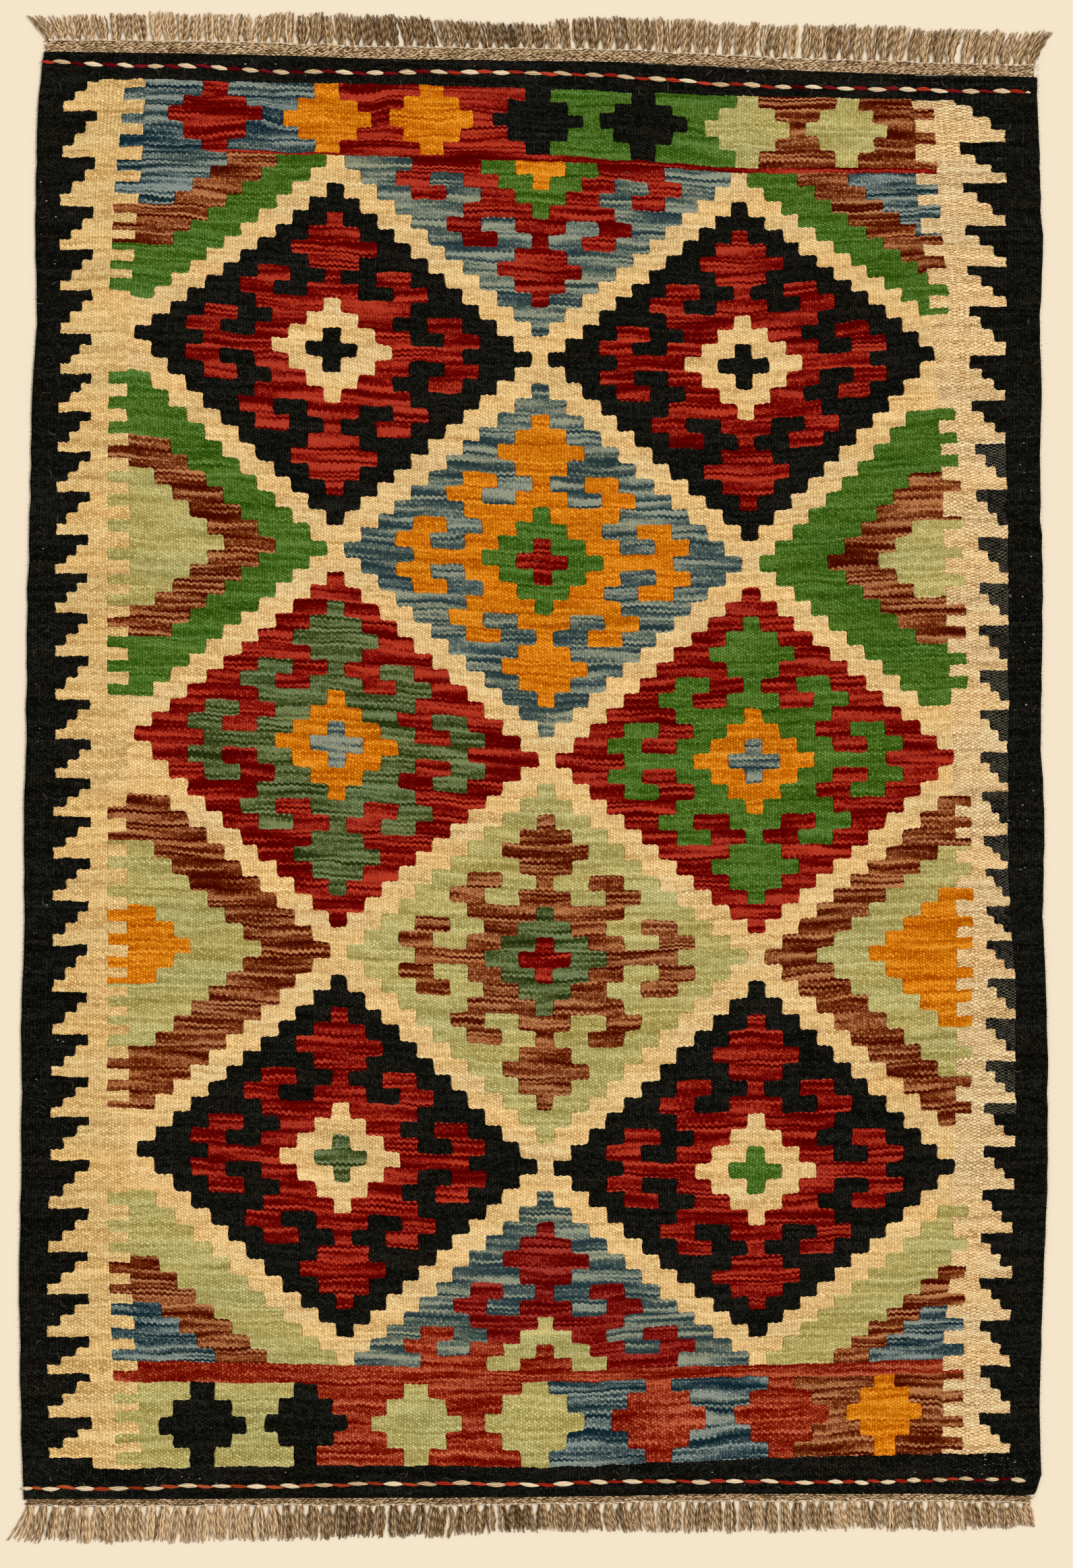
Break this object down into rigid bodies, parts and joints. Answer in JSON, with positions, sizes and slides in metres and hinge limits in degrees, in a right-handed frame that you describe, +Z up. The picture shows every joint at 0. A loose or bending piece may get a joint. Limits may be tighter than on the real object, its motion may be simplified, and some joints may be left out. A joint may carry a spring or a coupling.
{
  "type": "kilim rug",
  "caption": "Flat-woven wool kilim rug, lying flat, with a geometric diamond field, toothed side borders, twined end lines and knotted end fringes.",
  "frame": {"origin": "centre of the rug's plan, on the surface that it lies on", "axes": "+Y along the rug's length towards the end that the picture shows at the top, whose row of stars starts with a red one, +X across its width to the picture's right, +Z up out of the upper side"},
  "size_m": [1.0166, 1.5006, 0.0042],
  "materials": {
    "woven_wool": "matte weft-faced wool in black, cream, red, orange, blue, green, sage and brown",
    "warp_yarn": "undyed grey-beige wool yarn",
    "twined_yarn": "red and off-white wool yarn"
  },
  "bodies": {
    "root": {"kilim_cloth": "woven_wool", "fringe_top": "warp_yarn", "fringe_bottom": "warp_yarn", "twined_line_top": "twined_yarn", "twined_line_bottom": "twined_yarn"}
  },
  "joints": []
}
